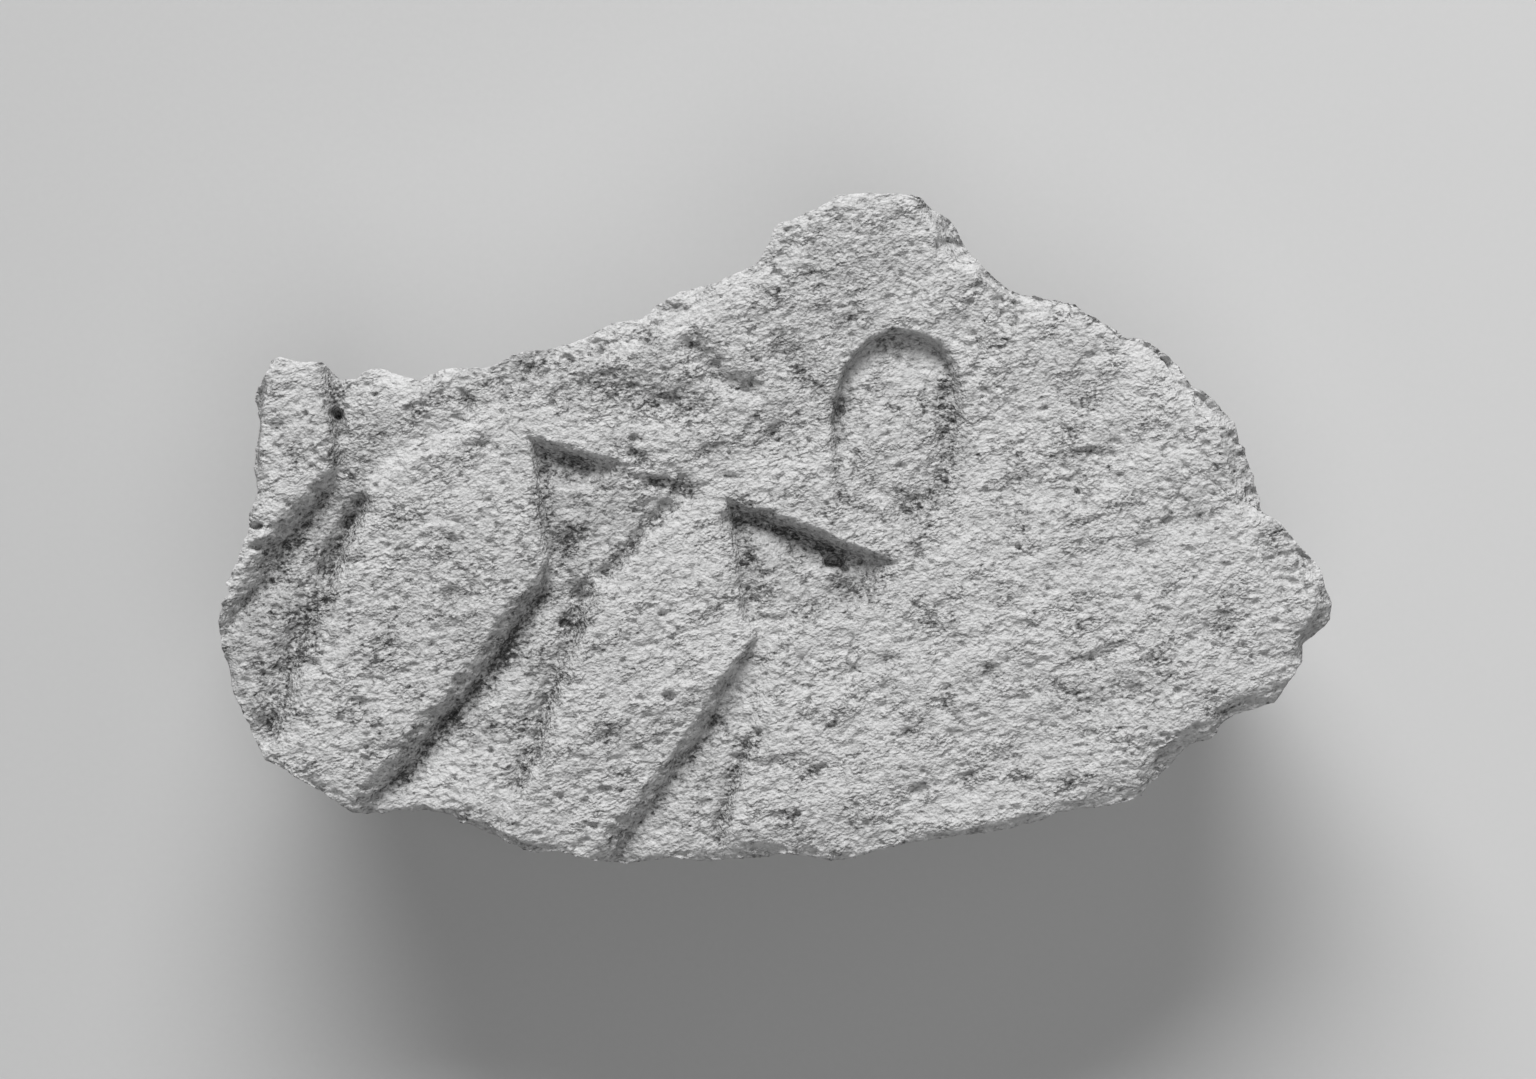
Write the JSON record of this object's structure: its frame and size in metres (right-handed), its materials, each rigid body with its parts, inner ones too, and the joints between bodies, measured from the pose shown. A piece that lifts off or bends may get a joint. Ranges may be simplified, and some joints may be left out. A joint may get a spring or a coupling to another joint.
{
  "type": "sunk relief fragment",
  "caption": "Broken slab of pale stone with flowers on leaning stems and an oval sign cut into its face in sunk relief; lies flat on its back.",
  "frame": {"origin": "under the middle of the slab, at the level that it rests on", "axes": "+X along the slab's length, +Y towards the crest of its upper edge, +Z out of the carved face"},
  "size_m": [0.19, 0.1144, 0.046],
  "materials": {
    "stone": "worn, granular, matt"
  },
  "bodies": {
    "root": {"relief_fragment": "stone"}
  },
  "joints": []
}
